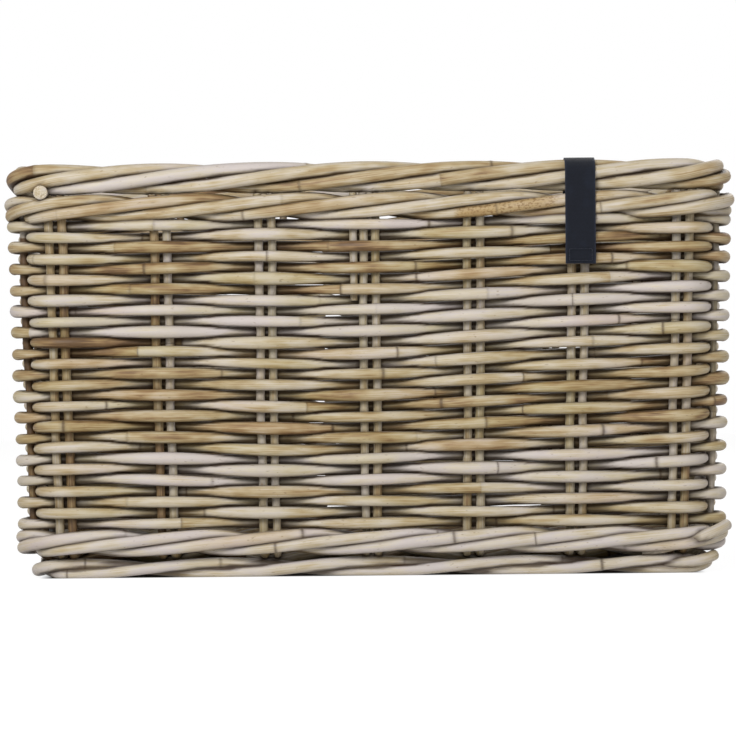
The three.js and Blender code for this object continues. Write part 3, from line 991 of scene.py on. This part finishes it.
@dataclass
class WallWeave(RodWork):
    """Wall weavers: each rod goes twice round, in front of one stake pair and behind the next.

    The ends run on past their pairs by a share of the spacing. The rows sway in swells, each with its height,
    number round the basket, phase and turn per metre of height, and climb at the right front corner.
    """

    rows: int = 29
    thick: float = 7.7 * MM
    waist: float = 6.8 * MM
    reach: float = 6.8 * MM
    bleach: float = 0.34
    bleached_rows: int = 9
    long_tail: float = 0.5
    short_tail: float = 0.32
    sway: float = 1.2 * MM
    swells: tuple[tuple[float, ...], ...] = ((1.0, 3, 0.8, 11), (0.6, 7, 2.1, -17))
    climb: float = 7.5 * MM
    climb_station: float = 7.0
    climb_reach: float = 2.8
    calm_edge: float = 30 * MM
    calm: float = 0.15
    jitter: float = 0.85 * MM
    uneven: float = 0.055
    seed: int = 300
    line_seed: int = 5400

    def courses(self) -> list[Course]:
        """Share the rows out among the rods, so that neighbouring rods and rows alternate.

        Returns:
            The rows of each rod, and how far its first and last end run on.
        """
        paired = self.rows - self.rows % 4
        courses = []
        for row in range(1, paired, 4):
            courses.append(([row, row + 2], self.long_tail, self.short_tail))
            courses.append(([row + 1, row + 3], self.short_tail, self.long_tail))
        return courses + [([row], self.long_tail, self.long_tail) for row in range(paired + 1, self.rows + 1)]

    def rise(self, at: Array, z: Array) -> Array:
        """Slow rise and fall of the rows, which climb most at the right front corner.

        Args:
            at: Stations round the basket.
            z: Heights of the rows.

        Returns:
            Rise at each station, in metres.
        """
        plan = self.plan
        lap = TURN * at / plan.stations
        low = sum(size * np.sin(count * lap + phase + lean * z) for size, count, phase, lean in self.swells)
        above, below = z - plan.first_row_z, plan.top_wale_z - z
        edge = np.clip(np.minimum(above, below) / self.calm_edge, self.calm, 1)
        share = np.clip(above / (plan.top_wale_z - plan.first_row_z), 0, 1)
        gap = np.mod(at - self.climb_station + plan.stations / 2, plan.stations) - plan.stations / 2
        climb = self.climb * np.exp(-(gap / self.climb_reach) ** 2) * np.sin(math.pi * share)
        return self.sway * low * edge + climb

    def rod(self, name: str, course: Course, seed: int) -> Rod:
        """Set out one weaver.

        Args:
            name: Name of the piece.
            course: Its rows from below, and how far its first and last end run on.
            seed: Seed of its unevenness.

        Returns:
            The rod.
        """
        rows, start_tail, end_tail = course
        plan = self.plan
        rng = np.random.default_rng(seed + self.line_seed)
        start = plan.back_middle + 1
        stop = start + len(rows) * plan.stations - 1
        at = plan.sample(start - start_tail, stop + end_tail)
        row = np.full(len(at), float(rows[0]))
        for lap in range(1, len(rows)):
            step = np.clip(at - (start + lap * plan.stations - 1), 0, 1)
            row += (rows[lap] - rows[lap - 1]) * step * step * (3 - 2 * step)
        z = plan.first_row_z + (row - 1) * plan.row_pitch
        z += self.rise(at, z) + self.jitter * wander(at, 4, 5.0, rng)
        low = np.floor(at)
        blend = (1 - np.cos(math.pi * (at - low))) / 2
        face = np.where((low + rows[0]) % 2 == 0, Side.OUTSIDE.value, Side.INSIDE.value)
        offset = self.reach * face * (1 - 2 * blend)
        hold = np.cos(math.pi * (at - np.round(at))) ** 2
        pairs = np.arange(math.floor(at[0]), math.ceil(at[-1]) + 1)
        plump = np.interp(at, pairs, 1 + self.uneven * rng.normal(size=len(pairs)))
        radius = (self.waist + (self.thick - self.waist) * hold) / 2 * plump
        bleached = self.bleach * max(0.0, 1 - rows[0] / self.bleached_rows)
        bed = offset, plan.outward(at)
        return Rod(name, plan.point(at, z, offset), radius, seed, bed=bed, shift=bleached)

    def build(self) -> None:
        """Build all wall weavers."""
        for index, course in enumerate(self.courses()):
            node = f"weaver_{index + 1:02d}"
            self.lay(self.rod(f"{node}_rattan", course, self.seed + index), node)


@dataclass
class Border(RodWork):
    """Strands that each go once round the basket, from beside the back wall's middle."""

    middle_z: float
    prefix: str
    strands: int
    diameter: float
    seed: int
    line_seed: int
    shift: float = 0.0
    skin: tuple[float, float] = (0.0, 0.0)
    ground: bool = False
    end_gap: float = 0.5 * MM

    def stations(self, strand: int) -> Array:
        """Stations along one strand.

        Args:
            strand: Number of the strand, from 0.

        Returns:
            Close stations once round the basket.
        """
        start = self.plan.back_middle + strand
        gap = self.end_gap / self.plan.spacing(start)
        return self.plan.sample(start + gap, start + self.plan.stations - gap)

    def strand(self, number: int, at: Array, line: Array, bed: tuple[Array, Array]) -> None:
        """Build one strand, the first with its speckled skin on a stretch.

        Args:
            number: Number of the strand, from 0.
            at: Stations along it.
            line: Its centre line.
            bed: How it lies in the weave.
        """
        first, last = self.skin
        bark = ((at > first) & (at < last) & (number == 0)).astype(float)
        node = f"{self.prefix}_{number + 1}"
        self.lay(Rod(
            f"{node}_rattan", line, self.diameter / 2, self.seed + number, bed=bed, bark=bark,
            shift=self.shift, ground=self.ground,
        ), node)


@dataclass
class Wale(Border):
    """Three rods that go behind one stake pair and in front of two, each rising past the next."""

    prefix: str = "top_wale"
    strands: int = 3
    diameter: float = 8.0 * MM
    seed: int = 400
    line_seed: int = 5600
    lift: float = 10.2 * MM
    reach: float = 7.0 * MM
    uneven: float = 0.5 * MM
    ways_out: tuple[float, ...] = (-1.0, 0.0, 1.0, 1.1, 1.15, 0.35)
    ways_up: tuple[float, ...] = (0.0, -0.5, -0.36, 0.0, 0.36, 0.5)

    def course(self, keys: tuple[float, ...], lap: Array) -> Array:
        """Smooth way through keys that stand half a spacing apart and repeat.

        Args:
            keys: Values of one repeat.
            lap: Stations from the start of the strand.

        Returns:
            One value per station.
        """
        values = np.array(keys)
        index = np.floor(2 * lap).astype(int)
        part = 2 * lap - index
        before, here, after, later = (values[(index + shift) % len(values)] for shift in (-1, 0, 1, 2))
        square = 2 * before - 5 * here + 4 * after - later
        cube = 3 * (here - after) + later - before
        return here + 0.5 * part * (after - before + part * (square + part * cube))

    def build(self) -> None:
        """Build the strands of the wale."""
        for number in range(self.strands):
            rng = np.random.default_rng(self.seed + number + self.line_seed)
            at = self.stations(number)
            lap = at - (self.plan.back_middle + number)
            offset = self.reach * self.course(self.ways_out, lap)
            z = self.middle_z + self.lift * self.course(self.ways_up, lap)
            z += self.uneven * wander(at, 4, 4.0, rng)
            self.strand(number, at, self.plan.point(at, z, offset), (offset, self.plan.outward(at)))


@dataclass
class Rope(Border):
    """Strands twisted round one another and laid round the basket, as the rim and the foot are."""

    prefix: str = "rim_strand"
    strands: int = 4
    diameter: float = 8.5 * MM
    seed: int = 580
    line_seed: int = 5800
    twist: float = math.pi / 2
    twist_r: float = 5.97 * MM
    inset: float = 0.0
    phase: float = math.pi
    uneven: float = 0.12
    uneven_r: float = 0.04

    def build(self) -> None:
        """Build the strands of the rope."""
        for number in range(self.strands):
            rng = np.random.default_rng(self.seed + number + self.line_seed)
            at = self.stations(number)
            angle = self.phase + TURN * number / self.strands - self.twist * (at - self.plan.back_middle)
            angle += self.uneven * wander(at, 4, 5.0, rng)
            reach = self.twist_r * (1 + self.uneven_r * wander(at, 4, 4.0, rng))
            z = self.middle_z + reach * np.cos(angle)
            out = self.plan.outward(at) * np.sin(angle)[:, None]
            out[:, 2] = np.cos(angle)
            line = self.plan.point(at, z, reach * np.sin(angle) - self.inset)
            self.strand(number, at, line, (reach, out))


@dataclass
class CutEnds(RodWork):
    """Cut ends of rods that come out of the weave at the front corners.

    Each has a name, a thickness, a seed and the four control points of its curve, from inside the weave to
    the cut face, in millimetres.
    """

    points: int = 18
    tone: float = 0.66
    soil_and_shade: float = 0.1
    ends: tuple[tuple[str, float, int, tuple[Triple, ...]], ...] = (
        ("rim_end", 9.6, 561, (
            (-212, -146, 250.2), (-212, -152, 250.2), (-212, -158, 250.2), (-212, -164.5, 250.2))),
        ("upset_end", 7.4, 562, ((176, -143, 14), (197, -147, 17), (218, -164, 25), (231.5, -144, 31))),
        ("foot_end", 7.2, 563, ((176, -138, 7), (195, -142, 5), (214, -155, 7), (223.5, -138, 11))),
    )

    def build(self) -> None:
        """Build the cut ends."""
        t = np.linspace(0, 1, self.points)[:, None]
        for name, diameter, seed, controls in self.ends:
            first, second, third, last = np.array(controls) * MM
            line = (1 - t) ** 3 * first + 3 * (1 - t) ** 2 * t * second
            line = line + 3 * (1 - t) * t ** 2 * third + t ** 3 * last
            self.lay(Rod(f"{name}_rattan", line, diameter * MM / 2, seed, self.soil_and_shade, tone=self.tone))


@dataclass
class RimLabel:
    """Plain woven tape folded over the rim, with a stitched box near its outer hem."""

    plan: BasketPlan
    cloth: Material
    thread: Material
    station: int = 5
    columns: int = 15
    width: float = 19.6 * MM
    thick: float = 0.9 * MM
    bulge: float = 12.6 * MM
    crown: float = 10.9 * MM
    hem_z: float = 201.0 * MM
    inner_hem_z: float = 204.0 * MM
    sag: float = 0.35 * MM
    cup: float = 0.25 * MM
    bevel: float = 0.25 * MM
    box_width: float = 14.5 * MM
    box_height: float = 7.5 * MM
    box_lift: float = 2 * MM
    stitch: float = 2.6 * MM
    stitch_part: tuple[float, float] = (0.12, 0.88)
    stitch_rise: tuple[float, ...] = (-0.12, 0.12, 0.2, 0.12, -0.12)
    thread_r: float = 0.26 * MM
    thread_out: float = 0.6 * MM

    def section(self) -> Array:
        """Way of the tape across the wall, from the outer hem over the rim to the inner hem.

        Returns:
            Offsets from the wall and heights, about 1.4 mm apart.
        """
        rim = self.plan.rim_z
        side_top = rim - 2 * MM
        arch = [
            (self.bulge * math.cos(angle), 0.0, rim + self.crown * math.sin(angle))
            for angle in np.linspace(0.12, math.pi - 0.12, 15)
        ]
        outer = [(self.bulge, 0.0, self.hem_z), (self.bulge, 0.0, side_top)]
        inner = [(-self.bulge, 0.0, side_top), (-self.bulge, 0.0, self.inner_hem_z)]
        line = spread(np.array(outer + arch + inner), 1.4 * MM)
        rng = np.random.default_rng(71)
        fall = np.clip((rim - line[:, 2]) / (rim - self.hem_z), 0, 1)
        line[:, 0] += np.sign(line[:, 0]) * fall * self.sag * (1 + wander(distances(line), 3, 0.05, rng))
        return line[:, [0, 2]]

    def place(self, across: Array, offset: Array, z: Array) -> Array:
        """Points on the tape.

        Args:
            across: Distances to the right of the tape's middle.
            offset: Distances outwards from the wall.
            z: Heights.

        Returns:
            One point per distance.
        """
        points = self.plan.point(float(self.station), z, offset)
        points[:, 0] = self.plan.point(self.station, self.plan.rim_z, 0.0)[0, 0] + across
        return points

    def tape(self) -> tuple[Piece, float]:
        """The cloth tape.

        Returns:
            The tape and the length that it was cut to.
        """
        way = self.section()
        select_only()
        bpy.ops.mesh.primitive_grid_add(x_subdivisions=self.columns, y_subdivisions=len(way) - 1, size=1)
        tape = bpy.context.view_layer.objects.active
        tape.name = tape.data.name = "rim_label_tape"
        flat = vertex_places(tape)
        across = flat[:, 0] * self.width
        offset, z = way[np.rint((flat[:, 1] + 0.5) * (len(way) - 1)).astype(int)].T
        length = distances(way)[-1]
        edge = np.abs(2 * across / self.width)
        points = self.place(across, offset - np.sign(offset) * self.cup * edge ** 2, z)
        tape.data.vertices.foreach_set("co", points.ravel())
        for corner in tape.data.uv_layers[0].data:
            corner.uv = (corner.uv[0] * self.width, corner.uv[1] * length)
        paint(tape, "edge", np.clip((edge - 0.86) / 0.14, 0, 1) * 0.5)
        for kind, settings in (
            ("SOLIDIFY", {"thickness": self.thick, "offset": 0.0}),
            ("BEVEL", {"width": self.bevel, "segments": 2, "limit_method": "ANGLE"}),
        ):
            modifier = tape.modifiers.new(kind, kind)
            for name, value in settings.items():
                setattr(modifier, name, value)
            bpy.ops.object.modifier_apply(modifier=kind)
        bpy.ops.object.mode_set(mode="EDIT")
        bpy.ops.mesh.select_all(action="SELECT")
        bpy.ops.mesh.normals_make_consistent(inside=False)
        bpy.ops.object.mode_set(mode="OBJECT")
        bpy.ops.object.shade_smooth_by_angle(angle=math.radians(40))
        dress(tape, self.cloth)
        return tape, length

    def stitches(self) -> Piece:
        """Stitched box near the outer hem, one short thread per stitch.

        Returns:
            The stitches as one object.
        """
        half_w, half_h = self.box_width / 2, self.box_height / 2
        middle_z = self.hem_z + self.box_lift + half_h
        turns = ((-1, -1), (1, -1), (1, 1), (-1, 1), (-1, -1))
        corners = [(right * half_w, up * half_h) for right, up in turns]
        out = self.bulge + self.thread_out + (self.thick / 2 + np.array(self.stitch_rise) * MM)
        begin, end = self.stitch_part
        threads = []
        for (x0, z0), (x1, z1) in zip(corners, corners[1:]):
            count = round(math.hypot(x1 - x0, z1 - z0) / self.stitch)
            for part in range(count):
                share = np.linspace((part + begin) / count, (part + end) / count, len(out))
                line = self.place(x0 + (x1 - x0) * share, out, middle_z + z0 + (z1 - z0) * share)
                threads.append(tube("rim_label_stitch", line, np.full(len(out), self.thread_r), sides=6))
        select_only(*threads)
        bpy.ops.object.join()
        box = threads[0]
        box.name = box.data.name = "rim_label_stitches"
        close_mesh(box, smooth_angle=60)
        dress(box, self.thread)
        return box

    def build(self) -> None:
        tape, length = self.tape()
        box = self.stitches()
        hand_over(tape, Slot.CLOTH, "rim_label")
        hand_over(box, Slot.CLOTH)


@dataclass(frozen=True)
class Lamp:
    """Soft square lamp, with its place, the length of its sides and its power in watts."""

    name: str
    place: Triple
    size: float
    power: float

    def hang(self, target: Vector) -> None:
        """Add the lamp to the scene, looking at a target.

        Args:
            target: The point that it looks at.
        """
        light = bpy.data.lights.new(self.name, "AREA")
        light.size = self.size
        light.energy = self.power
        lamp = bpy.data.objects.new(self.name, light)
        lamp.location = self.place
        lamp.rotation_euler = (target - Vector(self.place)).to_track_quat("-Z", "Y").to_euler()
        bpy.context.collection.objects.link(lamp)


@dataclass
class Studio:
    """Plain white studio: pale floor with a painted shadow under the basket, soft light from the front and
    above, and a camera before the front.
    """

    frame_width: float = 475.0 * MM
    front_y: float = -163 * MM
    distance: float = 2.2
    camera_z: float = 135 * MM
    camera_x: float = -1.6 * MM
    roll: float = 0.0095
    sensor: float = 36.0
    ambient: float = 0.27
    ambient_colour: Colour = (1.0, 0.99, 0.97, 1.0)
    floor_r: float = 4.0
    floor_z: float = -0.4 * MM
    floor_colour: Colour = (0.82, 0.82, 0.81, 1.0)
    floor_glow: float = 1.1
    floor_glow_share: float = 0.86
    # Painted shadow on the floor under the basket: its dark colour, half size and soft edge.
    painted_shadow_colour: Colour = (0.09, 0.08, 0.07, 1.0)
    painted_shadow_half: tuple[float, float] = (0.216, 0.1425)
    painted_shadow_edge: tuple[float, float] = (0.97, 1.01)
    lamps: tuple[Lamp, ...] = (
        Lamp("key_lamp", (-0.6, -2.0, 1.1), 0.8, 37.0),
        Lamp("fill_lamp", (1.6, -1.3, 0.7), 1.4, 5.0),
        Lamp("back_lamp", (0.9, 1.9, 1.6), 1.2, 20.0),
    )

    def world(self) -> None:
        """White for the camera and for reflections, softer as a light."""
        world = bpy.data.worlds.new("studio_world")
        bpy.context.scene.world = world
        nodes = NodeSheet(world, "Background")
        nodes.feed(nodes.shader, {"Color": self.ambient_colour, "Strength": self.ambient})
        nodes.cover(nodes.seen_ray(), "Background", {"Color": "ffffff", "Strength": 1.0})

    def floor(self) -> None:
        """Pale round floor that shows as white, with a painted shadow: its colour turns dark brown under the
        basket and it doesn't glow there.
        """
        select_only()
        bpy.ops.mesh.primitive_circle_add(
            vertices=96, radius=self.floor_r, fill_type="NGON", location=(0, 0, self.floor_z)
        )
        floor = bpy.context.view_layer.objects.active
        floor.name = "studio_floor"
        material = bpy.data.materials.new("studio_floor_paint")
        nodes = NodeSheet(material)
        place = nodes.add("SeparateXYZ", {0: nodes.coordinates("Object")}).outputs
        far = [
            nodes.math("DIVIDE", nodes.math("ABSOLUTE", place[axis]), half)
            for axis, half in enumerate(self.painted_shadow_half)
        ]
        # Painted shadow: under the basket the floor's colour is dark brown and its glow is off.
        beyond = nodes.remap(nodes.math("MAXIMUM", *far), *self.painted_shadow_edge, 0, 1)
        nodes.feed(nodes.shader, {
            "Base Color": nodes.mix(beyond, self.painted_shadow_colour, self.floor_colour),
            "Roughness": 0.9,
            "Specular IOR Level": 0.1,
        })
        glow = nodes.math("MULTIPLY", nodes.seen_ray(), self.floor_glow_share)
        nodes.cover(nodes.math("MULTIPLY", glow, beyond), "Emission", {"Strength": self.floor_glow})
        dress(floor, material)

    def camera(self) -> None:
        """Camera straight before the front wall."""
        lens = bpy.data.cameras.new("front_camera")
        lens.sensor_width = self.sensor
        lens.lens = self.sensor * (self.distance + self.front_y) / self.frame_width
        camera = bpy.data.objects.new("front_camera", lens)
        camera.location = (self.camera_x, -self.distance, self.camera_z)
        camera.rotation_euler = (math.pi / 2, self.roll, 0.0)
        bpy.context.collection.objects.link(camera)
        bpy.context.scene.camera = camera

    def build(self) -> None:
        """Set up the studio."""
        bpy.context.scene.view_settings.view_transform = "Standard"
        self.world()
        self.floor()
        for lamp in self.lamps:
            lamp.hang(Vector((0, 0, self.camera_z)))
        self.camera()


def main() -> None:
    """Build the basket and its studio."""
    logging.basicConfig(level=logging.INFO, format="%(message)s")
    plan = BasketPlan()
    Studio().build()
    stake_wood = RattanFinish("rattan_stakes_wood", paleness=-0.06).material()
    weaver_wood = RattanFinish("rattan_weavers_wood").material()
    wale_wood = RattanFinish("rattan_wales_wood", paleness=-0.15, olive=0.0).material()
    rim_wood = RattanFinish("rattan_rim_wood", paleness=0.05, olive=0.1).material()
    cloth = ClothFinish("label_cloth_tape").material()
    thread = ClothFinish("label_cloth_thread", dark="20242f", light="343a48").material()
    contact_shade = ContactShade()
    Stakes(plan, stake_wood, Slot.STAKES, contact_shade).build()
    BaseWeave(plan, weaver_wood, Slot.WEAVERS, contact_shade).build()
    WallWeave(plan, weaver_wood, Slot.WEAVERS, contact_shade).build()
    Wale(plan, wale_wood, Slot.WALES, contact_shade, plan.top_wale_z, skin=(27.85, 28.8)).build()
    Wale(
        plan, wale_wood, Slot.WALES, contact_shade, plan.upset_z, prefix="upset_wale", lift=9.4 * MM,
        diameter=7.9 * MM, seed=420, shift=0.5,
    ).build()
    Rope(plan, rim_wood, Slot.RIM, contact_shade, plan.rim_z).build()
    Rope(
        plan, wale_wood, Slot.WALES, contact_shade, plan.foot_z, prefix="foot_strand", strands=2, twist=TURN / 3,
        twist_r=3.0 * MM, diameter=7.7 * MM, inset=4 * MM, phase=0.0, seed=520, shift=0.62, ground=True,
    ).build()
    CutEnds(plan, rim_wood, Slot.RIM, contact_shade).build()
    contact_shade.settle()
    RimLabel(plan, cloth, thread).build()


if __name__ == "__main__":
    main()
